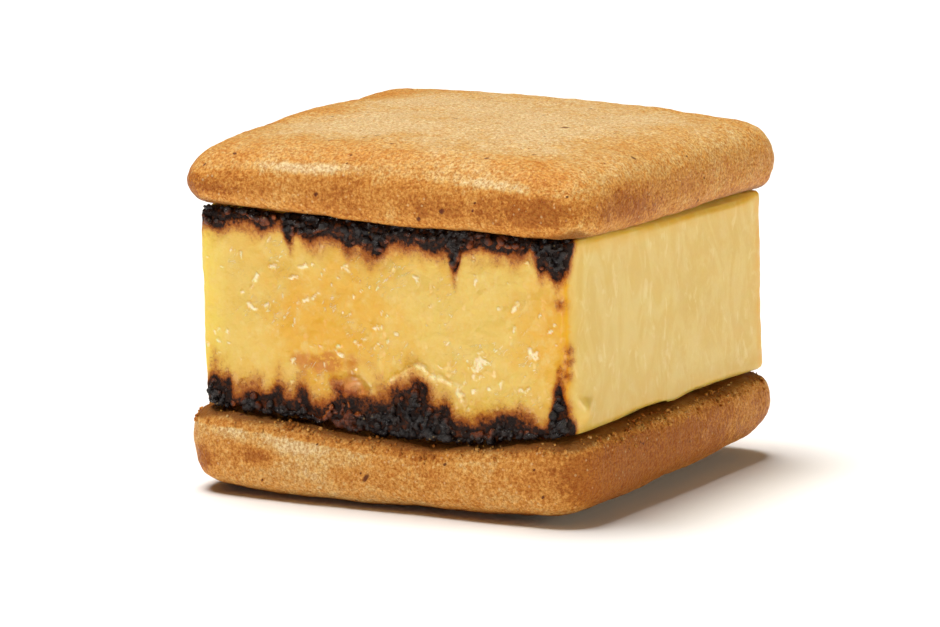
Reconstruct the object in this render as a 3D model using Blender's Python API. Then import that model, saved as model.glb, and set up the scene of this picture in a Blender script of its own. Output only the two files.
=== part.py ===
"""A square block of burnt cheesecake between two square, pillow-shaped biscuits.

Sizes are in millimetres here and the meshes are made in metres, with +Z up. The origin is on the
resting face, under the middle of the stack. The block's browned, moulded faces look along -Y and
+Y, and its clean knife-cut faces along +X and -X.
"""

import math

import bmesh
import bpy
from mathutils import Vector, noise

MM = 0.001
GAP = 0.3  # between pieces that touch

# Where the pieces meet
LOWER_SEAT = 10.05  # height of the lower biscuit's flat side, at the middle
LOWER_SEAT_SLOPE_X = 0.006
UPPER_SEAT = 32.7  # height of the upper biscuit's flat side, at the middle
UPPER_SEAT_SLOPE_X = -0.024
UPPER_SEAT_SLOPE_Y = -0.007
FRONT_DIP = 1.9  # where the soft block has sagged over the lower biscuit's front edge
FRONT_DIP_AT = 7.0
FRONT_DIP_LEFT = 32.0
FRONT_DIP_RIGHT = 20.5
FRONT_DIP_RUN = 11.0

# The block of cheesecake
BLOCK_SIDE = 48.4
BLOCK_EDGE_RADIUS = 1.0
BLOCK_LEAN = 0.35  # how far its top stands towards -X of its bottom
WOBBLE = 0.25  # unevenness of every side
KNIFE_STREAK = 0.14

# The burnt crust along the top and bottom of the moulded faces, as (place, reach, half width)
TOP_CRUST = 2.2
TOP_DRIPS = (
    (12.2, 1.6, 0.6),
    (15.0, 0.8, 1.2),
    (20.0, 1.2, 0.7),
    (23.0, 1.6, 1.6),
    (31.0, 0.7, 1.3),
    (33.7, 2.5, 0.6),
    (39.0, -0.6, 3.0),
    (44.7, 1.2, 0.7),
    (46.5, 2.6, 0.8),
)
BOTTOM_CRUST = 1.0
BOTTOM_MOUNDS = (
    (1.9, 2.8, 0.9),
    (3.6, 1.4, 0.6),
    (6.5, 0.8, 1.6),
    (10.5, 1.4, 0.9),
    (18.5, 1.2, 2.2),
    (24.0, 1.0, 1.2),
    (26.4, 1.6, 1.0),
    (28.6, 3.2, 1.1),
    (30.4, 1.4, 0.8),
    (32.6, 1.1, 0.9),
    (35.0, -0.7, 1.2),
    (40.2, 0.2, 1.8),
    (44.6, -0.8, 0.9),
    (46.8, 4.9, 0.8),
)
CRUST_RELIEF = 0.5
CRAG = 0.5

# The biscuits
UPPER_SIDE = 52.6
LOWER_SIDE = 52.6
UPPER_CORNER_RADIUS = 5.0
LOWER_CORNER_RADIUS = 6.0
SHOULDER_WIDTH = 5.0
SHOULDER_DROP = 2.6
HEEL_WIDTH = 1.4
HEEL_RISE = 1.1
RIM_BULGE = 0.3
UPPER_DOME = 1.9
LOWER_DOME = 2.3
BISCUIT_WOBBLE = 0.18
# Thickness towards the rim, from +X and every 45 degrees on towards +Y
UPPER_RIM = (7.4, 8.0, 7.9, 8.5, 7.4, 6.3, 7.4, 7.4)
# Lift of the upper biscuit's overhanging edge, in the same order
UPPER_LIFT = (-0.4, 0.45, 0.0, 0.0, 0.0, 0.0, -0.75, -0.35)
LOWER_RIM = (7.3, 7.3, 7.4, 7.4, 7.6, 8.9, 8.5, 8.8)

BISCUIT_COLOUR = (0.62, 0.33, 0.11, 1.0)
CHEESECAKE_COLOUR = (0.86, 0.56, 0.15, 1.0)


def clear_scene():
    for thing in list(bpy.data.objects):
        bpy.data.objects.remove(thing, do_unlink=True)


def finish(name, colour, roughness):
    material = bpy.data.materials.new(name)
    material.use_nodes = True
    shader = material.node_tree.nodes["Principled BSDF"]
    shader.inputs["Base Color"].default_value = colour
    shader.inputs["Roughness"].default_value = roughness
    shader.inputs["Metallic"].default_value = 0.0
    return material


def gridded_cube(name, cells_x, cells_y, cells_z):
    """A cube from -1 to 1, cut into that many cells along each of its edges."""
    bpy.ops.mesh.primitive_cube_add(size=2)
    cube = bpy.context.object
    cube.name = name
    form = bmesh.new()
    form.from_mesh(cube.data)
    for axis, cells in enumerate((cells_x, cells_y, cells_z)):
        along = [e for e in form.edges if abs(e.verts[0].co[axis] - e.verts[1].co[axis]) > 1e-6]
        bmesh.ops.subdivide_edges(form, edges=along, cuts=cells - 1, use_grid_fill=True)
    form.to_mesh(cube.data)
    form.free()
    return cube


def shape(piece, place, material):
    """Moves each point of the unit cube to place(point), given in millimetres."""
    for vertex in piece.data.vertices:
        vertex.co = place(vertex.co.copy()) * MM
    piece.data.materials.append(material)
    piece.data.shade_smooth()


def smooth(t):
    t = min(max(t, 0.0), 1.0)
    return t * t * (3 - 2 * t)


def hump(t):
    """1 at t 0, falling smoothly to 0 at t -1 and 1."""
    return math.cos(min(abs(t), 1.0) * math.pi / 2) ** 2


def wave(x, y, z, size):
    """Smooth unevenness from -1 to 1, of about that size across."""
    return noise.noise(Vector((x, y, z)) / size)


def crowded(u, power):
    """Draws grid lines from -1..1 towards the two ends, where the form is round."""
    return math.copysign(1 - (1 - abs(u)) ** power, u)


def rounded_square(x, y, half, radius):
    """The point x, y of a square, moved so that the square's corners become arcs."""
    inner = half - radius
    over_x = max(abs(x) - inner, 0.0)
    over_y = max(abs(y) - inner, 0.0)
    if over_x == 0.0 or over_y == 0.0:
        return x, y
    scale = max(over_x, over_y) / math.hypot(over_x, over_y)
    return math.copysign(inner + over_x * scale, x), math.copysign(inner + over_y * scale, y)


def around(u, v, eight):
    """A value that changes smoothly round the rim, given for +X and every 45 degrees on."""
    turn = (math.atan2(v, u) / (math.pi / 4)) % 8
    first = int(turn) % 8
    share = smooth(turn - int(turn))
    return eight[first] * (1 - share) + eight[(first + 1) % 8] * share


def arc_drop(inset, width, drop):
    """How far a rounded edge has fallen, at a distance inset from the rim."""
    if inset >= width:
        return 0.0
    return drop * (1 - math.sqrt(1 - (1 - inset / width) ** 2))


def overhang(x, y):
    """0 over the block, rising to 1 at the biscuits' rims."""
    return smooth((max(abs(x), abs(y)) - BLOCK_SIDE / 2) / (LOWER_SIDE - BLOCK_SIDE) * 2)


def lower_level(x, y):
    return LOWER_SEAT + LOWER_SEAT_SLOPE_X * x


def upper_level(x, y):
    return UPPER_SEAT + UPPER_SEAT_SLOPE_X * x + UPPER_SEAT_SLOPE_Y * y


def lower_seat(x, y):
    width = FRONT_DIP_LEFT if x < FRONT_DIP_AT else FRONT_DIP_RIGHT
    front = smooth(1 - (y + BLOCK_SIDE / 2) / FRONT_DIP_RUN)
    return lower_level(x, y) - FRONT_DIP * hump((x - FRONT_DIP_AT) / width) * front


def upper_seat(x, y):
    return upper_level(x, y) + around(x, y, UPPER_LIFT) * overhang(x, y)


def biscuit(name, side, corner, level, seat, facing, rim, dome, material):
    """A biscuit whose flat side lies on seat(x, y); its baked side is up if facing is 1, down if -1."""
    half = side / 2
    piece = gridded_cube(name, 18, 18, 4)

    def place(point):
        u = crowded(point.x, 1.6)
        v = crowded(point.y, 1.6)
        reach = max(abs(u), abs(v))
        inset = (1 - reach) * half
        x, y = rounded_square(u * half, v * half, half, corner)
        flat = seat(x, y) + facing * (GAP / 2 + arc_drop(inset, HEEL_WIDTH, HEEL_RISE))
        middle = sum(rim) / 8
        thickness = middle + (around(u, v, rim) - middle) * reach**2
        thickness += dome * math.cos(min(math.hypot(u, v) / 1.42, 1.0) * math.pi / 2)
        thickness += BISCUIT_WOBBLE * wave(x, y, 40 * facing, 9) * smooth(inset / 2)
        crown = level(x, y) + facing * (thickness - arc_drop(inset, SHOULDER_WIDTH, SHOULDER_DROP))
        share = (1 + facing * point.z) / 2
        z = max(flat + (crown - flat) * share, 0.0)
        bulge = RIM_BULGE * (1 - point.z**2) if inset < 1e-6 else 0.0
        out = 1 + (bulge + BISCUIT_WOBBLE * wave(x, y, 5 * facing, 11)) / half
        return Vector((x * out, y * out, z))

    shape(piece, place, material)
    return piece


def crust_edge(s, base, lumps, seed):
    """How far the burnt crust reaches from its rim at the place s along the face."""
    reach = base + 0.4 * wave(s, seed, 0, 3.5) + 0.25 * wave(s, seed, 9, 1.4)
    for place, height, half_width in lumps:
        reach += height * hump((s - place) / (2 * half_width))
    return reach


def crust_relief(s, up, height, sagged, seed):
    """How far the moulded face stands out at the place s along it and a height up it."""
    top = smooth((crust_edge(s, TOP_CRUST, TOP_DRIPS, seed) - (height - up)) / 0.9 + 0.5)
    bottom = smooth((crust_edge(s, BOTTOM_CRUST, BOTTOM_MOUNDS, seed + 20) - up + sagged) / 0.9 + 0.5)
    crust = max(top, bottom)
    crags = CRAG * wave(s, up, seed, 1.9)
    sag = 0.5 * hump((up - 1) / 6) * hump((s - BLOCK_SIDE / 2 - FRONT_DIP_AT) / 14)
    ends = smooth(s / 1.5) * smooth((BLOCK_SIDE - s) / 1.5)
    return crust * (CRUST_RELIEF + crags) * (0.3 + 0.7 * ends) + sag


def cheesecake(material):
    half = BLOCK_SIDE / 2
    piece = gridded_cube("cheesecake", 40, 10, 19)

    def place(point):
        x, y = rounded_square(point.x * half, point.y * half, half, BLOCK_EDGE_RADIUS)
        share = (point.z + 1) / 2
        height = upper_seat(x, y) - lower_seat(x, y) - GAP
        up = share * height
        side_x = 1.0 if abs(point.x) > 0.999 else 0.0
        side_y = 1.0 if abs(point.y) > 0.999 else 0.0
        out_x = side_x * (WOBBLE * wave(x, y, up, 7) + KNIFE_STREAK * wave(y, 0.1 * up, x, 2.8))
        out_y = side_y * WOBBLE * wave(x, y, up, 7)
        sagged = lower_level(x, y) - lower_seat(x, y)
        if side_y:
            out_y += crust_relief(x + half, up, height, sagged, 1 if point.y < 0 else 7)
        x += math.copysign(out_x, x) - BLOCK_LEAN * (share - 0.5)
        y += math.copysign(out_y, y)
        bottom = lower_seat(x, y) + GAP / 2
        top = upper_seat(x, y) - GAP / 2
        return Vector((x, y, bottom + share * (top - bottom)))

    shape(piece, place, material)
    return piece


def main():
    clear_scene()
    biscuit_finish = finish("biscuit", BISCUIT_COLOUR, 0.75)
    cheesecake_finish = finish("cheesecake", CHEESECAKE_COLOUR, 0.35)
    lower = (LOWER_SIDE, LOWER_CORNER_RADIUS, lower_level, lower_seat, -1, LOWER_RIM, LOWER_DOME)
    biscuit("biscuit_bottom", *lower, biscuit_finish)
    cheesecake(cheesecake_finish)
    upper = (UPPER_SIDE, UPPER_CORNER_RADIUS, upper_level, upper_seat, 1, UPPER_RIM, UPPER_DOME)
    biscuit("biscuit_top", *upper, biscuit_finish)


main()
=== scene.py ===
"""A burnt cheesecake sandwich: a square block of baked custard between two sandy biscuits."""

import math
import random

import bmesh
import bpy
import numpy as np
from mathutils import Euler, Matrix, Vector, noise


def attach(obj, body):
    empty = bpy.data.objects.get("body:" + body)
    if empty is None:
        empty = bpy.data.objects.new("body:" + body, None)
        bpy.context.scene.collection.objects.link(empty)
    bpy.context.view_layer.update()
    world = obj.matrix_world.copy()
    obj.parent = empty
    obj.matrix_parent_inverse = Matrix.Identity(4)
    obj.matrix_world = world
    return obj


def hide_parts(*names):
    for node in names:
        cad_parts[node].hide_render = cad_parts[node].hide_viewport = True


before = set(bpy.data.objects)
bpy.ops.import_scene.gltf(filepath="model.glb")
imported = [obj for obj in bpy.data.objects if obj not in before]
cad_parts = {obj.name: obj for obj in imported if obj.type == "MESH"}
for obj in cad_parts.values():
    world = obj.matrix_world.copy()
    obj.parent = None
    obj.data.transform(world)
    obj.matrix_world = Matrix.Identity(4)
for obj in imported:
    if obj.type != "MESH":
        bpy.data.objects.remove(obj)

# Lengths are in millimetres; MM turns them into metres
MM = 0.001
SCENE = bpy.context.scene
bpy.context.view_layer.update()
X, Y, Z = range(3)

# The block: its side, the heights and slopes of its lower and upper faces, and how its lower face
# sags over the front edge of the lower biscuit
BLOCK_SIDE = 48.4
HALF = BLOCK_SIDE / 2
LOWER_SEAT = 10.05
LOWER_SLOPE_X = 0.006
UPPER_SEAT = 32.7
UPPER_SLOPE_X = -0.024
UPPER_SLOPE_Y = -0.007
SAG = 1.9
SAG_AT = 7.0
SAG_LEFT = 32.0
SAG_RIGHT = 20.5
SAG_RUN = 11.0

# The burnt crust along the rims of the moulded faces, as (place, reach, half width)
TOP_CRUST = 2.2
TOP_DRIPS = (
    (12.2, 1.6, 0.6),
    (15.0, 0.8, 1.2),
    (20.0, 1.2, 0.7),
    (23.0, 1.6, 1.6),
    (31.0, 0.7, 1.3),
    (33.7, 2.5, 0.6),
    (39.0, -0.6, 3.0),
    (44.7, 1.2, 0.7),
    (46.5, 2.6, 0.8),
)
BOTTOM_CRUST = 1.0
BOTTOM_MOUNDS = (
    (1.9, 2.8, 0.9),
    (3.6, 1.4, 0.6),
    (6.5, 0.8, 1.6),
    (10.5, 1.4, 0.9),
    (18.5, 1.2, 2.2),
    (24.0, 1.0, 1.2),
    (26.4, 1.6, 1.0),
    (28.6, 3.2, 1.1),
    (30.4, 1.4, 0.8),
    (32.6, 1.1, 0.9),
    (35.0, -0.7, 1.2),
    (40.2, 0.2, 1.8),
    (44.6, -0.8, 0.9),
    (46.8, 4.9, 0.8),
)
# How much further the crust reaches all along, and in its clumps, as (place, half width, how much)
TOP_BASE, BOTTOM_BASE = -0.60, -0.50
TOP_CLUMPS = (
    (8, 11, -0.50),
    (33.5, 1.5, 0.4),
    (10.9, 1.6, -0.6),
    (18.4, 1.6, -0.7),
    (43.2, 1.5, -0.6),
)
BOTTOM_CLUMPS = (
    (27, 7, 0.5),
    (13.8, 1.6, 0.7),
    (16.4, 1.6, -1.0),
    (3.6, 1.5, 0.3),
    (37, 3, -0.6),
)
FRONT, BACK = -1, 1
CRUST_SEED = {FRONT: 1, BACK: 7}

# Beads of burnt crust: the lowest and how far up they reach, their spacing and radii
BEAD_FLOOR = 7.5
BEAD_RISE = 27
BEAD_PITCH = 0.66
BEAD_SMALL = 0.22
BEAD_LARGE = 0.50
CRUST_VOXEL = 0.12
# How far the burnt colour of the block reaches past the beads
BURN_SPREAD = 0.42
# Small scorched flecks up the near edge, as (place, height, size)
EDGE_FLECKS = (
    (47.7, 6.9, 0.4),
    (48.1, 8.5, 0.6),
    (48.0, 9.7, 0.3),
    (46.9, 14.9, 0.2),
)

# Scraps of white curd on the moulded faces, as (place, height, length, width, turn in degrees)
CURD_SCRAPS = (
    (7.4, 15.2, 1.5, 0.5, 60),
    (7.0, 12.2, 1.6, 0.6, -20),
    (9.9, 16.9, 0.7, 0.5, 20),
    (12.5, 15.8, 1.2, 0.5, 35),
    (14.2, 17.2, 1.8, 0.35, 10),
    (14.4, 13.3, 2.6, 0.4, 25),
    (16.6, 16.6, 1.2, 0.4, 60),
    (18.4, 8.2, 1.0, 0.5, 20),
    (21.2, 8.6, 1.1, 0.4, -10),
    (23.5, 10.8, 1.1, 0.6, 10),
    (36.7, 7.0, 3.0, 1.2, 65),
    (36.0, 4.6, 0.9, 0.5, 60),
    (41.2, 14.2, 1.8, 0.5, 60),
    (43.3, 9.1, 1.3, 0.9, -50),
    (39.5, 5.3, 0.8, 0.4, 80),
    (42.3, 4.9, 1.6, 0.5, 5),
    (36.3, 16.6, 1.0, 0.4, 70),
    (25.9, 10.1, 0.9, 0.3, 15),
)
LOOSE_SCRAPS = 95
# The torn lip of skin on the front face, from end to end
TORN_LIP = (
    (25.4, 5.1),
    (26.8, 5.9),
    (28.4, 6.8),
    (29.8, 6.6),
    (31.0, 5.7),
    (32.2, 5.6),
    (34.0, 4.7),
    (34.6, 3.3),
)
# The smooth fold, and the toasted patch above it, as (place, height, half length, half height)
FOLD = (20.2, 3.8, 3.0, 1.2)
TOAST = (17.0, 6.2, 5.2, 1.5)


# ---------------------------------------------------------------- working on meshes


def deselect():
    if bpy.context.object and bpy.context.object.mode != "OBJECT":
        bpy.ops.object.mode_set(mode="OBJECT")
    bpy.ops.object.select_all(action="DESELECT")


def work_on(piece):
    deselect()
    piece.select_set(True)
    bpy.context.view_layer.objects.active = piece


def apply_modifier(piece, kind, **settings):
    work_on(piece)
    modifier = piece.modifiers.new(kind.title(), kind)
    for key, value in settings.items():
        setattr(modifier, key, value)
    bpy.ops.object.modifier_apply(modifier=modifier.name)


def copy_of(node, name):
    """A copy of a CAD node as a merged mesh of quads."""
    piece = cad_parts[node].copy()
    piece.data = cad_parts[node].data.copy()
    piece.name = name
    piece.data.name = name
    for key in list(piece.keys()):
        del piece[key]
    piece.parent = None
    SCENE.collection.objects.link(piece)
    piece.data.materials.clear()
    work_on(piece)
    bpy.ops.object.mode_set(mode="EDIT")
    bpy.ops.mesh.select_all(action="SELECT")
    bpy.ops.mesh.remove_doubles(threshold=0.00002)
    widest = math.radians(60)
    bpy.ops.mesh.tris_convert_to_quads(face_threshold=widest, shape_threshold=widest)
    bpy.ops.object.mode_set(mode="OBJECT")
    if piece.data.has_custom_normals:
        bpy.ops.mesh.customdata_custom_splitnormals_clear()
    return piece


def points_of(piece):
    """The piece's points and their normals, in millimetres."""
    mesh = piece.data
    co = np.empty(len(mesh.vertices) * 3)
    mesh.vertices.foreach_get("co", co)
    normal = np.empty(len(mesh.vertices) * 3)
    mesh.vertices.foreach_get("normal", normal)
    return co.reshape(-1, 3) / MM, normal.reshape(-1, 3)


def place_points(piece, points):
    piece.data.vertices.foreach_set("co", (points * MM).ravel())
    piece.data.update()


def write_value(piece, name, values):
    layer = piece.data.attributes.new(name, "FLOAT", "POINT")
    layer.data.foreach_set("value", np.asarray(values, np.float32))


def smooth_step(low, high, x):
    t = np.clip((x - low) / (high - low), 0, 1)
    return t * t * (3 - 2 * t)


def hump(t):
    """1 at t 0, falling smoothly to 0 at t -1 and 1."""
    return np.cos(np.minimum(np.abs(t), 1) * math.pi / 2) ** 2


def wave(x, y, z, size):
    return noise.noise(Vector((x, y, z)) / size)


def waves(points, size, seed=0.0):
    """Smooth unevenness of about that size across, at each point."""
    shift = Vector((seed * 7.3, seed * 3.1, seed * 5.7))
    return np.array([noise.noise(Vector(p) / size + shift) for p in points])


def subdivide_faces(piece, axis, cuts):
    """Cuts up the faces that look along an axis."""
    work_on(piece)
    bpy.ops.object.mode_set(mode="EDIT")
    bpy.ops.mesh.select_mode(type="FACE")
    bpy.ops.mesh.select_all(action="DESELECT")
    bpy.ops.object.mode_set(mode="OBJECT")
    for face in piece.data.polygons:
        face.select = abs(face.normal[axis]) > 0.6
    bpy.ops.object.mode_set(mode="EDIT")
    bpy.ops.mesh.subdivide(number_cuts=cuts, smoothness=0)
    bpy.ops.object.mode_set(mode="OBJECT")


def small_sphere(subdivisions):
    bpy.ops.mesh.primitive_ico_sphere_add(subdivisions=subdivisions, radius=1, location=(0, 0, 0))
    return bpy.context.object


def add_lump(form, sphere, centre, radius, throw, narrowest, widest):
    """Adds the sphere to a form as a lump of that radius, squashed and turned by chance."""
    size = Vector([radius * throw.uniform(narrowest, widest) for _ in range(3)]) * MM
    turn = Euler([throw.uniform(0, math.tau) for _ in range(3)]).to_matrix().to_4x4()
    copy = sphere.data.copy()
    copy.transform(Matrix.Translation(centre) @ turn @ Matrix.Diagonal((*size, 1)))
    form.from_mesh(copy)
    bpy.data.meshes.remove(copy)


def give_form(piece, form, name):
    form.to_mesh(piece.data)
    form.free()
    piece.name = piece.data.name = name


# ---------------------------------------------------------------- where the crust is burnt


def lower_line(x):
    """The height of the block's lower face, without its sag."""
    return LOWER_SEAT + LOWER_SLOPE_X * x


def lower_seat(x, y):
    """The height of the block's lower face."""
    width = np.where(x < SAG_AT, SAG_LEFT, SAG_RIGHT)
    front = 1 - smooth_step(0, 1, (y + HALF) / SAG_RUN)
    return lower_line(x) - SAG * hump((x - SAG_AT) / width) * front


def upper_seat(x, y):
    """The height of the block's upper face."""
    return UPPER_SEAT + UPPER_SLOPE_X * x + UPPER_SLOPE_Y * y


def crust_reach(base, lumps, seed):
    """How far the burnt crust reaches from its rim, every tenth of a millimetre along the face."""
    along = np.arange(-1, BLOCK_SIDE + 1, 0.1)
    uneven = [base + 0.4 * wave(s, seed, 0, 3.5) + 0.25 * wave(s, seed, 9, 1.4) for s in along]
    reach = np.array(uneven)
    for place, height, half_width in lumps:
        reach += height * hump((along - place) / (2 * half_width))
    return along, reach


CRUST = {
    facing: (
        crust_reach(TOP_CRUST, TOP_DRIPS, seed),
        crust_reach(BOTTOM_CRUST, BOTTOM_MOUNDS, seed + 20),
    )
    for facing, seed in CRUST_SEED.items()
}


def crust_depth(facing, x, y, z):
    """How deep inside the burnt crust a place on a moulded face is; negative outside it."""
    top, bottom = CRUST[facing]
    from_top = np.interp(x + HALF, *top) - (upper_seat(x, y) - z)
    from_bottom = np.interp(x + HALF, *bottom) - (z - lower_line(x))
    return np.maximum(from_top, np.where(from_bottom > 0, from_bottom, 0.7 * from_bottom))


def clumps(facing, x, z):
    """The crust gathers in clumps: how much further it reaches at a place."""
    s = x + HALF
    top, bottom = TOP_BASE, BOTTOM_BASE
    for place, half_width, more in TOP_CLUMPS:
        top = top + more * hump((s - place) / half_width)
    for place, half_width, more in BOTTOM_CLUMPS:
        bottom = bottom + more * hump((s - place) / half_width)
    low = z < (LOWER_SEAT + UPPER_SEAT) / 2
    places = zip(np.atleast_1d(x), np.atleast_1d(z))
    grown = np.array([wave(a, facing * 9, b, 1.7) for a, b in places])
    return 0.9 * grown + np.where(low, bottom, top)


def crust_depths(x, y, z):
    """The depth inside the burnt crust and its clumps, on whichever moulded face is nearer."""
    depth = np.where(y < 0, crust_depth(FRONT, x, y, z), crust_depth(BACK, x, y, z))
    return depth + np.where(y < 0, clumps(FRONT, x, z), clumps(BACK, x, z))


# ---------------------------------------------------------------- the block of cheesecake


def scrap_shape(s, h, scraps):
    """1 in the middle of the curd scraps, falling to 0 at their edges."""
    covered = np.zeros(len(s))
    for place, height, length, width, turn in scraps:
        reach = length + 0.4
        near = np.nonzero((np.abs(s - place) < reach) & (np.abs(h - height) < reach))[0]
        a = math.radians(turn)
        along = (s[near] - place) * math.cos(a) + (h[near] - height) * math.sin(a)
        across = (h[near] - height) * math.cos(a) - (s[near] - place) * math.sin(a)
        ragged = np.array([noise.noise(Vector((s[k], h[k], place)) / 0.5) for k in near])
        reach = np.hypot(along / (length * 0.7), across / (width * 0.8)) + 1.1 * ragged
        covered[near] = np.maximum(covered[near], 1 - smooth_step(0.2, 1.0, reach))
    return covered


def loose_scraps(seed):
    """Small scraps of curd, thrown in loose swarms over a moulded face."""
    throw = random.Random(seed)
    scraps = []
    while len(scraps) < LOOSE_SCRAPS:
        s, h = throw.uniform(1, 47), throw.uniform(2.5, 19.5)
        crowd = 0.5 + 0.9 * wave(s, h, seed, 6.0)
        if throw.random() > crowd**2 * 1.6:
            continue
        size = throw.uniform(0.35, 0.7) * (1.6 if throw.random() < 0.15 else 1)
        scraps.append((s, h, size, size * throw.uniform(0.25, 0.5), throw.gauss(45, 35)))
    return scraps


def line_distance(s, h, line):
    """The distance to a bent line and on which side of it a place is (1 above, -1 below)."""
    nearest = np.full(len(s), 99.0)
    side = np.ones(len(s))
    for (s0, h0), (s1, h1) in zip(line, line[1:]):
        length = math.hypot(s1 - s0, h1 - h0)
        ds, dh = (s1 - s0) / length, (h1 - h0) / length
        t = np.clip((s - s0) * ds + (h - h0) * dh, 0, length)
        away = np.hypot(s - s0 - t * ds, h - h0 - t * dh)
        turn = np.where(ds * (h - h0) - dh * (s - s0) >= 0, 1, -1)
        side = np.where(away < nearest, turn, side)
        nearest = np.minimum(away, nearest)
    return nearest, side


def oval(s, h, place):
    """0 in the middle of an oval (place, height, half length, half height), 1 on its rim."""
    return np.hypot((s - place[0]) / place[2], (h - place[1]) / place[3])


def cheesecake_block():
    """The block: its moulded faces with skin, curd, a torn lip and a fold, and its cut faces."""
    piece = copy_of("cheesecake", "cheesecake_block")
    apply_modifier(piece, "SUBSURF", levels=1, render_levels=1)
    subdivide_faces(piece, Y, cuts=2)
    subdivide_faces(piece, X, cuts=1)
    points, normals = points_of(piece)
    x, y, z = points.T
    # How far along the moulded faces, and how high above the lower face
    s, h = x + HALF, z - lower_line(x)
    # The moulded faces, the cut ones, and the part of the moulded faces that the crust leaves bare
    moulded = smooth_step(0.35, 0.8, np.abs(normals[:, Y]))
    cut = smooth_step(0.5, 0.9, np.abs(normals[:, X]))
    front = (y < 0) * moulded
    crust = crust_depths(x, y, z) + BURN_SPREAD
    crust = crust - np.maximum(HALF - np.abs(y) - 0.6, 0) * 2.5
    crust = np.where(y > 0, crust - 4 * smooth_step(HALF - 4, HALF - 1, x), crust)
    skin = moulded * smooth_step(0.2, -0.6, crust)

    curd = np.where(y < 0, scrap_shape(s, h, CURD_SCRAPS), 0.0)
    for facing in (FRONT, BACK):
        loose = scrap_shape(s, h, loose_scraps(CRUST_SEED[facing]))
        curd = np.where(y * facing > 0, np.maximum(curd, loose), curd)
    curd = curd * skin

    lip, side = line_distance(s, h, TORN_LIP)
    lip = lip + 0.25 * waves(points, 0.8, 3)
    frayed = 0.5 + 0.9 * waves(points, 1.3, 9) + 0.5 * waves(points, 0.6, 10)
    lip_edge = np.exp(-((lip / 0.42) ** 2)) * np.clip(frayed, 0.2, 1) * front
    flap = np.where(side < 0, np.exp(-lip / 1.4), np.exp(-lip / 0.12)) * front
    fold = (1 - smooth_step(0.55, 1.1, oval(s, h, FOLD) + 0.35 * waves(points, 1.3, 13))) * front
    fleck = np.full(len(points), -3.0)
    for place, height, size in EDGE_FLECKS:
        fleck = np.maximum(fleck, 0.5 * size - 0.75 - 1.5 * np.hypot(s - place, h - height))
    fleck = np.where(y < 0, fleck - 2.0 * np.maximum(HALF - np.abs(y) - 0.6, 0), -3.0)
    toast = (1 - smooth_step(0.4, 1.2, oval(s, h, TOAST) + 0.9 * waves(points, 1.8, 5))) * front

    lift = 0.16 * waves(points, 4.5, 1) + 0.10 * waves(points, 1.8, 2)
    lift = (lift + 0.05 * waves(points, 0.8, 4)) * (0.5 + 0.5 * skin)
    lift += skin * (0.07 * curd + 0.26 * lip_edge + 0.16 * flap)
    lift += skin * fold * (0.40 + 0.60 * waves(points, 1.3, 14))
    lift -= 0.25 * (1 - skin) * moulded
    knife = cut * (1 - moulded)
    bulge = 0.7 * hump((y + 21.5) / 2.2) * hump((h - 2.6) / 2.2) * (x > 0)
    crease = -0.20 * hump((y + 19.6 + 0.8 * (h - 3)) / 0.7) * hump((h - 3.4) / 2.0) * (x > 0)
    lift += knife * (bulge + crease)
    points += normals * lift[:, None]
    points[:, X] -= 0.35 * smooth_step(3 - HALF, -HALF, x) * hump((h - 11) / 14)
    far = smooth_step(HALF - 4, HALF, x) * smooth_step(HALF - 6, HALF, y)
    points[:, X] += 0.25 * far
    points[:, Y] += 0.55 * far
    place_points(piece, points)

    veil = 0.6 * flap * (side < 0) * np.clip(0.4 + 1.4 * waves(points, 1.1, 12), 0, 1) * skin
    near_edge = np.hypot(np.maximum(HALF - np.abs(y), 0), np.maximum(HALF - np.abs(x), 0))
    write_value(piece, "crust", np.maximum(crust, fleck))
    write_value(piece, "cut", knife)
    write_value(piece, "curd", np.clip(curd + 0.9 * lip_edge + veil, 0, 1))
    write_value(piece, "fold", fold)
    write_value(piece, "toast", toast)
    bright = np.where(x < 0, 0.25, 1 - 0.9 * knife * (y < 0))
    joint = 0.6 * smooth_step(2.8, 0.8, upper_seat(x, y) - z) + 0.35 * smooth_step(3.5, 0.8, h)
    joint = knife * joint * np.clip(0.9 + waves(points, 3.0, 17), 0, 1)
    write_value(piece, "amber", np.maximum(smooth_step(3.4, 0.4, near_edge) * bright, joint))
    write_value(piece, "swarm", moulded * skin * np.clip(1.7 * waves(points, 4.5, 15), 0, 1))
    write_value(piece, "lemon", smooth_step(4.5, 0.5, s) * moulded)
    warm = np.maximum(hump((s - 17) / 15), 0.7 * hump((s - 45) / 7)) * hump((h - 11) / 14)
    write_value(piece, "warm", warm * moulded)
    piece.data.shade_smooth()
    return piece


# ---------------------------------------------------------------- the burnt crust


def bead_spots(facing):
    """Where the beads sit: (x, z, radius), thrown closely over the burnt part of a moulded face."""
    throw = random.Random(40 + facing)
    spots = []
    face_y = HALF * facing
    for row in range(int(BEAD_RISE / BEAD_PITCH)):
        for column in range(int(BLOCK_SIDE / BEAD_PITCH)):
            x = -HALF + (column + throw.uniform(0, 1)) * BEAD_PITCH
            z = BEAD_FLOOR + (row + throw.uniform(0, 1)) * BEAD_PITCH
            radius = throw.uniform(BEAD_SMALL, BEAD_LARGE)
            seat = float(lower_seat(x, face_y)) + 0.15
            ceiling = float(upper_seat(x, face_y)) - 0.15
            depth = float(crust_depth(facing, x, face_y, z))
            stray = float(clumps(facing, x, z)[0]) + throw.uniform(-0.35, 0.35)
            margin = 0.75 if facing == FRONT or x < 0 else 3.5
            if abs(x) > HALF - margin or not seat - 0.1 < z < ceiling + 0.1:
                continue
            if depth + stray < 0:
                continue
            if depth < 0.5:
                radius *= throw.uniform(0.55, 0.9)
            z = min(max(z, seat + 0.75 * radius), ceiling - 0.75 * radius)
            spots.append((x, z, radius))
    return spots


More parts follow.
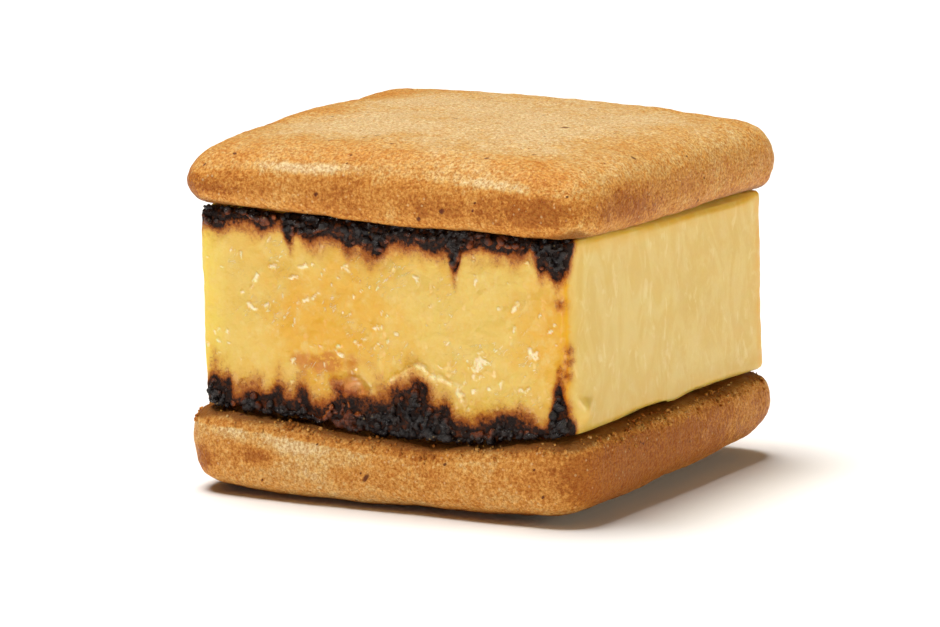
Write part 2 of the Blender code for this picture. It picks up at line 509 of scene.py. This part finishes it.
def burnt_crust(block):
    """Beads of burnt crust along the rims, grown together into one crumbly mass."""
    piece = small_sphere(subdivisions=2)
    form = bmesh.new()
    throw = random.Random(11)
    for facing in (FRONT, BACK):
        for x, z, radius in bead_spots(facing):
            start = Vector((x, facing * 40, z)) * MM
            hit, place, _, _ = block.ray_cast(start, Vector((0, -facing, 0)))
            if not hit:
                place = Vector((x, facing * (HALF - 0.4), z)) * MM
            out = throw.uniform(-0.2, 0.75) * radius
            centre = Vector((place.x, place.y + facing * out * MM, z * MM))
            add_lump(form, piece, centre, radius, throw, 0.8, 1.25)
    give_form(piece, form, "burnt_crust")
    apply_modifier(piece, "REMESH", mode="VOXEL", voxel_size=CRUST_VOXEL * MM)
    points, normals = points_of(piece)
    lift = 0.34 * waves(points, 1.3, 8) + 0.08 * waves(points, 0.5, 6)
    lift = lift + 0.04 * waves(points, 0.3, 7)
    points += normals * lift[:, None]
    place_points(piece, points)
    x, y, z = points.T
    s = x + HALF
    reddish = hump((s - 19) / 5) * (z < 16) + 0.8 * hump((s - 39) / 6) * (z > 20)
    ember = 0.7 * smooth_step(1.0, -0.5, crust_depths(x, y, z)) + 0.5 * reddish
    write_value(piece, "ember", np.clip(ember, 0, 1))
    piece.data.shade_smooth()
    return piece


# ---------------------------------------------------------------- the biscuits

BISCUIT_VOXEL = 0.3
SPECKS = 90
SPECK_SIZE = 0.27
# Patches on the front of the lower biscuit that came out redder or paler, as (place, height, half
# width, half height, how much)
PATCHES = (
    (-15.5, 5.2, 4.5, 1.8, 0.65),
    (-23.5, 4.0, 3.0, 2.5, 0.45),
    (-19.0, 7.6, 3.5, 1.4, -0.40),
    (-9.5, 6.6, 4.5, 1.3, -0.40),
    (-4.0, 4.0, 5.0, 1.6, 0.25),
)


def speck_distance(points, seed):
    """The distance to the nearest dark speck of the dough, drawn out along one direction."""
    throw = random.Random(seed)
    nearest = np.full(len(points), 9.0)
    for _ in range(SPECKS):
        centre = points[throw.randrange(len(points))]
        along = Vector([throw.uniform(-1, 1) for _ in range(3)]).normalized()
        away = points - centre
        run = away @ np.array(along)
        stretch = throw.uniform(1.0, 2.6)
        reach = np.sqrt(np.maximum((away**2).sum(1) - run**2 * (1 - 1 / stretch**2), 0))
        nearest = np.minimum(nearest, reach * throw.uniform(0.8, 2.0))
    return nearest


def baked_biscuit(node, name, facing):
    """A biscuit with its baked side up (facing 1) or down (facing -1)."""
    piece = copy_of(node, name)
    apply_modifier(piece, "SUBSURF", levels=2, render_levels=2)
    apply_modifier(piece, "REMESH", mode="VOXEL", voxel_size=BISCUIT_VOXEL * MM)
    apply_modifier(piece, "SMOOTH", factor=0.5, iterations=30)
    points, normals = points_of(piece)
    x, y, z = points.T
    right, front, up = normals[:, X], -normals[:, Y], normals[:, Z]
    rim = smooth_step(0.30, 1.0, 1 - np.abs(up))
    lift = 0.30 * waves(points, 9.0, facing) + 0.14 * waves(points, 3.2, facing + 2)
    fine = (0.05 + 0.05 * rim) * waves(points, 0.8, facing + 4)
    lift += 0.06 * waves(points, 1.5, facing + 6) + fine
    if facing < 0:
        lift += 0.45 * smooth_step(0.1, 0.7, -up) * smooth_step(-18, -25, y)
    points += normals * lift[:, None]
    # Nothing may sink into the table
    points[:, Z] = np.maximum(points[:, Z], 0)
    place_points(piece, points)
    # How far each place is baked, from pale (0) to deep brown (1); below, a painted highlight on
    # the upper shoulder and painted shade on the lower biscuit's right side and underside are
    # worked into it
    edge = smooth_step(12, 26, np.maximum(np.abs(x), np.abs(y)))
    far_left = rim * smooth_step(-8, -24, x) * (y < 0)
    baked_and_painted_light = np.clip(0.46 * edge + 0.20 * rim + 0.20 * far_left, 0, 1)
    right_side, left_side = smooth_step(0.3, 0.9, right), smooth_step(0.3, 0.9, -right)
    near = smooth_step(8, 26, (x - y) / 2) * rim
    reach = np.maximum(np.abs(x), np.abs(y)) - HALF
    # Darker on the flat side next to the block: soaked, and painted shade in the crevice under it
    soaked_and_shaded = smooth_step(2.3, 0.6, reach) * smooth_step(0.2, 0.7, -up * facing)
    if facing > 0:
        # The pale line along the front shoulder is a painted highlight; the same line is glossier
        # too
        steep = 0.56 - 0.12 * smooth_step(-18, -6, x)
        painted_shoulder_highlight = hump((up - steep) / 0.24) * smooth_step(0.2, 0.5, front)
        painted_shoulder_highlight = painted_shoulder_highlight * (0.2 + 0.8 * hump((x + 8.5) / 10) + 0.5 * hump((x - 16) / 7))
        sheen = painted_shoulder_highlight * smooth_step(14, 2, x)
        baked_and_painted_light = baked_and_painted_light - 0.75 * painted_shoulder_highlight - 0.04 * right_side + 0.45 * left_side + 0.40 * near
        baked_and_painted_light = baked_and_painted_light + 0.18 * smooth_step(-4, -24, x)
    else:
        sheen = np.zeros(len(points))
        # The lower biscuit's right side is darkened as painted shade
        baked_and_painted_light = baked_and_painted_light - 0.33 + 0.62 * right_side + 0.46 * near
        # Darker on the underside: its browner baking, with painted shade under the rim
        baked_and_painted_light = baked_and_painted_light + 0.35 * smooth_step(0.0, 0.7, -up)
        for place, height, half_width, half_height, more in PATCHES:
            patch = hump((x - place) / half_width) * hump((z - height) / half_height)
            baked_and_painted_light = baked_and_painted_light + more * 1.2 * patch * (y < -20)
        # The flattest part of the underside is darkened further, in tone and with the
        # soaked-and-shade brown: painted shade that deepens the shadow under the rim
        baked_and_painted_light = baked_and_painted_light + 0.8 * smooth_step(0.85, 0.98, -up)
        soaked_and_shaded = np.maximum(soaked_and_shaded, 0.8 * smooth_step(0.80, 0.97, -up))
    flat_side = up * facing < -0.3
    baked_and_painted_light = np.where(flat_side, np.maximum(baked_and_painted_light, 0.7), baked_and_painted_light)
    write_value(piece, "baked_and_painted_light", baked_and_painted_light)
    write_value(piece, "sheen", sheen)
    write_value(piece, "soaked_and_shaded", soaked_and_shaded)
    write_value(piece, "speck", speck_distance(points, 20 + facing))
    piece.data.shade_smooth()
    return piece


CRUMBS = 650
CRUMB_POINTS = 12
CRUMB_SMALL = 0.10
CRUMB_LARGE = 0.30
LEDGE = 2.6


def loose_crumbs(biscuit):
    """Crumbs of biscuit on the ledge round the block and along its outer edge."""
    piece = small_sphere(subdivisions=1)
    form = bmesh.new()
    throw = random.Random(31)
    reach = HALF + LEDGE
    while len(form.verts) < CRUMBS * CRUMB_POINTS:
        x, y = throw.uniform(-reach, reach), throw.uniform(-reach, reach)
        away = max(abs(x), abs(y)) - HALF
        if away < 0.1 or throw.random() > 0.25 + 0.6 * wave(x, y, 3, 6.0) + 0.3 * (away > 1.2):
            continue
        hit, place, normal, _ = biscuit.ray_cast(Vector((x, y, 20)) * MM, Vector((0, 0, -1)))
        if not hit or normal.z < 0.35:
            continue
        radius = CRUMB_SMALL + (CRUMB_LARGE - CRUMB_SMALL) * throw.random() ** 2.5
        add_lump(form, piece, place + normal * 0.4 * radius * MM, radius, throw, 0.6, 1.3)
    give_form(piece, form, "biscuit_crumbs")
    points, normals = points_of(piece)
    points += normals * (0.10 * waves(points, 0.25, 3))[:, None]
    place_points(piece, points)
    write_value(piece, "baked_and_painted_light", 0.75 + 0.8 * waves(points, 1.5, 8))
    write_value(piece, "soaked_and_shaded", np.full(len(points), 0.35))
    write_value(piece, "speck", np.full(len(points), 9.0))
    write_value(piece, "sheen", np.zeros(len(points)))
    piece.data.shade_smooth()
    return piece


# ---------------------------------------------------------------- finishes

# Biscuit, from pale to deep brown, and what its grain multiplies that by
DOUGH = (
    (0.0, (0.68, 0.475, 0.230)),
    (0.3, (0.62, 0.362, 0.120)),
    (0.6, (0.59, 0.268, 0.058)),
    (0.85, (0.50, 0.192, 0.033)),
    (1.0, (0.37, 0.120, 0.018)),
)
GRAIN_DARK, GRAIN_LIGHT = (0.72, 0.51, 0.32), (1.24, 1.45, 1.70)
SUGAR = (0.90, 0.68, 0.36)
PIT_BROWN = (0.34, 0.120, 0.018)
# Brown for the soaked places and for painted shade
SOAKED_AND_SHADE_BROWN = (0.19, 0.062, 0.011)
SPECK_BROWN = (0.100, 0.021, 0.009)

# Custard on the moulded faces, and inside, where it is cut
PALE, AMBER, LEMON = (0.745, 0.530, 0.120), (0.745, 0.412, 0.024), (0.81, 0.670, 0.125)
CREAM = (0.78, 0.600, 0.220)
SLICED_LIGHT, SLICED_DEEP = (0.728, 0.546, 0.150), (0.692, 0.478, 0.090)
STREAK = (0.85, 0.725, 0.345)
EDGE_AMBER = (0.73, 0.410, 0.018)
TOASTED = (0.59, 0.225, 0.010)
FOLD_BROWN = (0.62, 0.32, 0.145)
# White of the curd, which the wisps also use as painted glints
CURD_AND_GLINT_WHITE = (0.96, 0.88, 0.64)

# What the heat multiplies the custard by, from untouched to nearly black, and what it ends as
SCORCH = (
    (0.0, (1.0, 1.0, 1.0)),
    (0.22, (0.97, 0.91, 0.72)),
    (0.38, (0.88, 0.72, 0.42)),
    (0.52, (0.70, 0.42, 0.16)),
    (0.64, (0.44, 0.17, 0.06)),
    (0.75, (0.18, 0.050, 0.026)),
)
SINGED = (0.25, 0.062, 0.009)
CHAR, CHAR_GLOW = (0.013, 0.0065, 0.0050), (0.075, 0.019, 0.005)

# The beads of crust, from black to reddish brown, and the pale crumbs on them, which also serve as
# painted glints
CRUST_TONES = (
    (0.0, (0.007, 0.005, 0.006)),
    (0.35, (0.014, 0.006, 0.004)),
    (0.52, (0.060, 0.014, 0.005)),
    (0.75, (0.17, 0.035, 0.006)),
    (1.0, (0.29, 0.070, 0.008)),
)
PALE_CRUMB_AND_GLINT = (0.40, 0.28, 0.12)


class Finish:
    """A material whose nodes are added one by one."""

    def __init__(self, name):
        self.material = bpy.data.materials.new(name)
        self.material.use_nodes = True
        self.tree = self.material.node_tree
        self.shader = self.tree.nodes["Principled BSDF"]
        self.place = self.node("ShaderNodeTexCoord").outputs["Object"]

    def node(self, kind, inputs=None, **settings):
        """Adds a node; each input is a value or another node's output."""
        node = self.tree.nodes.new(kind)
        for key, value in settings.items():
            setattr(node, key, value)
        for key, value in (inputs or {}).items():
            self.put(node.inputs[key], value)
        return node

    def put(self, socket, value):
        if isinstance(value, bpy.types.NodeSocket):
            self.tree.links.new(value, socket)
        elif isinstance(value, tuple) and len(value) == 3 and socket.type == "RGBA":
            socket.default_value = (*value, 1)
        else:
            socket.default_value = value

    def value(self, name):
        """A value that write_value gave the piece."""
        return self.node("ShaderNodeAttribute", attribute_name=name).outputs["Fac"]

    def noise(self, size, detail=2.0, roughness=0.5, distortion=0.0, where=None):
        """Noise whose features are about size millimetres across."""
        inputs = {
            "Vector": where or self.place,
            "Scale": 1 / (size * MM),
            "Detail": detail,
            "Roughness": roughness,
            "Distortion": distortion,
        }
        return self.node("ShaderNodeTexNoise", inputs).outputs["Fac"]

    def cells(self, size):
        """Cells of about that size: the distance from their middles, and two random values each."""
        inputs = {"Vector": self.place, "Scale": 1 / (size * MM)}
        node = self.node("ShaderNodeTexVoronoi", inputs)
        values = self.node("ShaderNodeSeparateColor", {0: node.outputs["Color"]}).outputs
        return node.outputs["Distance"], values[0], values[1]

    def stretched(self, lengths, turn=0.0):
        """The place, for features drawn out by those lengths along axes turned about Y."""
        inputs = {"Vector": self.place, "Rotation": (0, turn, 0), "Scale": lengths}
        return self.node("ShaderNodeMapping", inputs, vector_type="TEXTURE").outputs["Vector"]

    def math(self, operation, a, b, c=0.0):
        return self.node("ShaderNodeMath", {0: a, 1: b, 2: c}, operation=operation).outputs[0]

    def plus(self, *terms):
        total = terms[0]
        for term in terms[1:]:
            total = self.math("ADD", total, term)
        return total

    def times(self, a, b):
        return self.math("MULTIPLY", a, b)

    def about(self, x, amount):
        """A 0..1 value made to swing about 0 by that amount in all."""
        return self.math("MULTIPLY_ADD", x, amount, -amount / 2)

    def between(self, x, low, high, start=0.0, end=1.0, smooth=True):
        """From start to end as x goes from low to high, and no further."""
        kind = "SMOOTHSTEP" if smooth else "LINEAR"
        inputs = {"Value": x, "From Min": low, "From Max": high, "To Min": start, "To Max": end}
        return self.node("ShaderNodeMapRange", inputs, interpolation_type=kind).outputs["Result"]

    def mix(self, share, a, b, blend="MIX"):
        inputs = {0: share, 6: a, 7: b}
        return self.node("ShaderNodeMix", inputs, data_type="RGBA", blend_type=blend).outputs[2]

    def ramp(self, x, stops):
        node = self.node("ShaderNodeValToRGB", {"Fac": x})
        elements = node.color_ramp.elements
        while len(elements) < len(stops):
            elements.new(0.5)
        for element, (position, colour) in zip(elements, stops):
            element.position = position
            element.color = (*colour, 1)
        return node.outputs["Color"]

    def bump(self, height, depth, under=None):
        """Height in the range 0..1, for a relief that many millimetres deep."""
        inputs = {"Height": height, "Distance": depth * MM, "Strength": 1.0}
        if under:
            inputs["Normal"] = under
        return self.node("ShaderNodeBump", inputs).outputs["Normal"]

    def set(self, **sockets):
        for key, value in sockets.items():
            self.put(self.shader.inputs[key.replace("_", " ")], value)


def biscuit_finish():
    """Sandy biscuit, with sugar crystals, pits and dark specks; its tone carries a painted
    highlight along the upper shoulder, and it darkens next to the block, soaked and with painted
    shade, and under the lower biscuit as painted shade.
    """
    f = Finish("sandy_biscuit")
    sand = f.noise(0.34, 3.0, 0.75)
    crystal, shade, glint = f.cells(0.40)
    broad, middling = f.about(f.noise(9.0, 3.0), 1.0), f.about(f.noise(2.0, 3.0, 0.6), 0.5)
    tone = f.plus(f.value("baked_and_painted_light"), broad, middling)
    tone = f.plus(tone, f.about(shade, 0.25), f.about(f.noise(0.6, 3.0, 0.65), 0.85))
    colour = f.ramp(tone, DOUGH)
    shading = f.mix(f.between(sand, 0.3, 0.7), GRAIN_DARK, GRAIN_LIGHT)
    colour = f.mix(1.0, colour, shading, "MULTIPLY")
    sparkle = f.times(f.between(glint, 0.945, 0.975), f.between(crystal, 0.25, 0.5, 1.0, 0.0))
    colour = f.mix(f.times(sparkle, 0.35), colour, SUGAR)
    pit = f.between(f.noise(0.42, 2.0, 0.6, 0.0, f.stretched((1, 1, 1), 0.7)), 0.60, 0.72)
    colour = f.mix(f.times(pit, 0.6), colour, PIT_BROWN)
    # Soaked brown and painted shade, next to the block and on the underside
    soaked_and_shaded = f.plus(f.value("soaked_and_shaded"), f.about(f.noise(1.2, 3.0, 0.6), 0.5))
    colour = f.mix(f.between(soaked_and_shaded, 0.1, 0.9, 0.0, 0.85), colour, SOAKED_AND_SHADE_BROWN)
    speck = f.plus(f.value("speck"), f.about(f.noise(0.25, 2.0), 0.12))
    speck = f.between(speck, SPECK_SIZE * 0.6, SPECK_SIZE * 1.2, 0.92, 0.0)
    colour = f.mix(speck, colour, SPECK_BROWN)
    relief = f.plus(f.times(f.noise(0.9, 3.0), 0.5), sand, f.between(crystal, 0.0, 0.6, 0.7, 0.0))
    sheen = f.times(f.value("sheen"), f.between(f.noise(3.0, 3.0), 0.35, 0.6, 0.3, 1.0))
    f.set(
        Base_Color=colour,
        Roughness=f.between(f.plus(sparkle, f.times(sheen, 0.2)), 0, 1, 0.46, 0.20),
        Normal=f.bump(relief, 0.14),
        Subsurface_Weight=0.12,
        Subsurface_Radius=(1.0, 0.45, 0.2),
        Subsurface_Scale=0.0008,
        Specular_IOR_Level=f.between(sheen, 0, 1, 0.10, 0.65),
    )
    return f.material


def cheesecake_finish():
    """Baked custard: skin with curd and white wisps on the moulded faces, the wisps partly painted
    glints, clean where cut, scorched at the rims.
    """
    f = Finish("baked_custard")
    cut = f.value("cut")
    # How burnt: about 0 where the char begins, -3 where the custard is untouched
    fray = f.plus(f.about(f.noise(0.5, 4.0, 0.7), 1.4), f.about(f.noise(1.6, 2.0), 0.6))
    fray = f.plus(fray, f.about(f.noise(0.34, 2.0, 0.6, 0.0, f.stretched((1, 1, 1.4))), 0.8))
    burn = f.plus(f.value("crust"), fray)
    warmth = f.plus(f.times(f.value("warm"), 0.8), f.about(f.noise(5.0, 3.0), 1.2))
    warmth = f.plus(warmth, f.about(f.noise(1.6, 3.0), 0.7))
    custard = f.mix(f.between(warmth, -0.1, 0.9), PALE, AMBER)
    custard = f.mix(f.times(f.value("lemon"), 0.9), custard, LEMON)
    mottled = f.between(f.noise(1.4, 4.0, 0.65), 0.48, 0.70, 0.0, 0.45)
    custard = f.mix(mottled, custard, CREAM)
    grain = f.stretched((1, 1.2, 2.2))
    swirl = f.noise(4.8, 4.0, 0.55, 2.4, grain)
    sliced = f.mix(f.between(swirl, 0.34, 0.62), SLICED_LIGHT, SLICED_DEEP)
    streaks = f.between(f.noise(1.7, 4.0, 0.6, 1.2, grain), 0.54, 0.70, 0.0, 0.4)
    sliced = f.mix(streaks, sliced, STREAK)
    custard = f.mix(cut, custard, sliced)
    edge = f.times(f.value("amber"), f.between(f.noise(2.0, 3.0), 0.25, 0.7, 0.45, 1.0))
    custard = f.mix(edge, custard, EDGE_AMBER)
    toast = f.times(f.value("toast"), f.between(f.noise(0.6, 4.0, 0.7), 0.35, 0.50))
    custard = f.mix(toast, custard, TOASTED)
    custard = f.mix(f.times(f.value("fold"), 0.8), custard, FOLD_BROWN)
    # White wisps over the skin: partly curd, partly painted glints
    wisp = f.between(f.noise(0.30, 3.0, 0.6, 0.5, f.stretched((3.2, 1, 1), -0.8)), 0.56, 0.66)
    other = f.between(f.noise(0.34, 3.0, 0.6, 0.8, f.stretched((2.4, 1, 1), -0.1)), 0.59, 0.69)
    curd_and_glint_wisps = f.times(f.math("MAXIMUM", wisp, other), f.between(f.value("swarm"), 0.05, 0.55))
    curd_and_glint_wisps = f.times(curd_and_glint_wisps, f.between(f.noise(0.7, 3.0, 0.6), 0.42, 0.56))
    curd = f.times(f.value("curd"), f.between(f.noise(0.32, 3.0, 0.6), 0.32, 0.50, 0.35, 1.0))
    curd = f.math("MAXIMUM", curd, f.times(curd_and_glint_wisps, 0.9))
    custard = f.mix(f.between(curd, 0.1, 0.9, 0.0, 0.78), custard, CURD_AND_GLINT_WHITE)
    scorch = f.ramp(f.between(burn, -3.2, 0.8, smooth=False), SCORCH)
    colour = f.mix(1.0, custard, scorch, "MULTIPLY")
    singed = f.times(f.between(f.noise(0.36, 3.0, 0.65), 0.53, 0.61), f.between(burn, -2.3, -0.5))
    colour = f.mix(f.times(singed, 0.85), colour, SINGED)
    glow = f.between(f.noise(0.7, 3.0, 0.65), 0.50, 0.64)
    colour = f.mix(f.between(burn, -0.55, -0.05), colour, f.mix(glow, CHAR, CHAR_GLOW))
    relief = f.plus(f.noise(0.6, 3.0), f.times(curd, f.noise(0.25, 3.0, 0.6)), f.times(curd, 0.6))
    skin = f.bump(f.times(relief, f.between(cut, 0, 1, 1.0, 0.25)), 0.10)
    crumbs = f.times(f.noise(0.35, 3.0, 0.6), f.between(burn, -1.6, 0.1))
    gloss = f.times(f.between(burn, -1.6, -0.2, 0.5, 0.12), f.between(edge, 0, 1, 1.0, 0.3))
    f.set(
        Base_Color=colour,
        Roughness=f.between(curd, 0, 1, 0.33, 0.22),
        Normal=f.bump(crumbs, 0.25, skin),
        Subsurface_Weight=f.between(burn, -1.6, -0.2, 0.75, 0.0),
        Subsurface_Radius=(1.0, 0.55, 0.22),
        Subsurface_Scale=0.0016,
        Specular_IOR_Level=gloss,
    )
    return f.material


def crust_finish():
    """Burnt sugar crust, glossy in patches, with pale crumbs here and there that also serve as
    painted glints.
    """
    f = Finish("burnt_sugar_crust")
    ember = f.plus(f.value("ember"), f.about(f.noise(1.2, 5.0, 0.7), 1.6), 0.06)
    colour = f.ramp(ember, CRUST_TONES)
    # Pale crumbs, partly painted glints
    crumb_and_glint, chance, _ = f.cells(0.45)
    crumb_and_glint = f.times(f.between(crumb_and_glint, 0.15, 0.35, 1.0, 0.0), f.between(chance, 0.91, 0.95))
    colour = f.mix(f.times(crumb_and_glint, 0.5), colour, PALE_CRUMB_AND_GLINT)
    relief = f.plus(f.noise(0.16, 3.0, 0.7), f.noise(0.4, 2.0))
    f.set(
        Base_Color=colour,
        Roughness=f.between(f.noise(0.9, 3.0), 0.35, 0.65, 0.12, 0.45),
        Normal=f.bump(relief, 0.11),
        Specular_IOR_Level=0.38,
    )
    return f.material


# ---------------------------------------------------------------- table, light and camera

TABLE_METRES = 6
TABLE_WHITE = (0.93, 0.94, 0.97)
WORLD_COLOUR = (1, 0.84, 0.60, 1)
WORLD_STRENGTH = 0.03


def table():
    bpy.ops.mesh.primitive_plane_add(size=TABLE_METRES, location=(0, 0, 0))
    plane = bpy.context.object
    plane.name = "table"
    f = Finish("white_table")
    f.set(Base_Color=TABLE_WHITE, Roughness=0.8, Specular_IOR_Level=0.1)
    plane.data.materials.append(f.material)


def sun(name, azimuth, elevation, strength, spread, colour):
    """A far light, spread over that angle, from that azimuth (0 is -Y, 90 is +X) and elevation."""
    bpy.ops.object.light_add(type="SUN")
    lamp = bpy.context.object
    lamp.name = name
    lamp.data.energy = strength
    lamp.data.angle = math.radians(spread)
    lamp.data.color = colour
    a, e = math.radians(azimuth), math.radians(elevation)
    source = Vector((math.sin(a) * math.cos(e), -math.cos(a) * math.cos(e), math.sin(e)))
    lamp.rotation_euler = source.to_track_quat("Z", "Y").to_euler()


def light_up():
    world = bpy.data.worlds.new("studio")
    world.use_nodes = True
    background = world.node_tree.nodes["Background"]
    background.inputs["Color"].default_value = WORLD_COLOUR
    background.inputs["Strength"].default_value = WORLD_STRENGTH
    SCENE.world = world
    sun("key", -90, 79, 4.2, 32, (1, 0.96, 0.90))
    sun("front_fill", 0, 0.8, 1.48, 3, (1, 0.97, 0.91))
    sun("right_fill", 112, 12, 1.24, 22, (1, 0.89, 0.65))
    SCENE.view_settings.view_transform = "Standard"


# The camera: its focal length in pixels of a picture this wide, its angles in degrees, its distance
# and where it aims
PICTURE_PX = 940
LENS_PX = 5000
SENSOR = 36
AZIMUTH = 29.04
ELEVATION = 9.6
ROLL = -0.5
DISTANCE = 583.9
AIM_RIGHT = -1.84
AIM_UP = -2.54
AIM_Z = 21.35


def camera():
    bpy.ops.object.camera_add()
    cam = bpy.context.object
    turn = Matrix.Rotation(math.radians(AZIMUTH), 4, "Z")
    tip = Matrix.Rotation(math.radians(90 - ELEVATION), 4, "X")
    roll = Matrix.Rotation(math.radians(ROLL), 4, "Z")
    axes = turn @ tip
    right, upward, back = (axes.col[k].to_3d() for k in range(3))
    place = Vector((0, 0, AIM_Z)) + right * AIM_RIGHT + upward * AIM_UP + back * DISTANCE
    cam.matrix_world = Matrix.Translation(place * MM) @ axes @ roll
    cam.data.sensor_width = SENSOR
    cam.data.lens = LENS_PX / PICTURE_PX * SENSOR
    cam.data.clip_start = 0.01
    SCENE.camera = cam


def main():
    """Builds the pieces, each in place of its CAD node, and sets the stage."""
    sandy = biscuit_finish()
    block = cheesecake_block()
    lower = baked_biscuit("biscuit_bottom", "lower_biscuit", -1)
    pieces = (
        (baked_biscuit("biscuit_top", "upper_biscuit", 1), "biscuit_top", "biscuit", sandy),
        (lower, "biscuit_bottom", "biscuit", sandy),
        (loose_crumbs(lower), "biscuit_bottom", "biscuit", sandy),
        (block, "cheesecake", "cheesecake", cheesecake_finish()),
        (burnt_crust(block), "cheesecake", "cheesecake", crust_finish()),
    )
    for piece, node, slot, finish in pieces:
        piece.data.materials.append(finish)
        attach(piece, "root")
        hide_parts(node)
    table()
    light_up()
    camera()


main()
deselect()
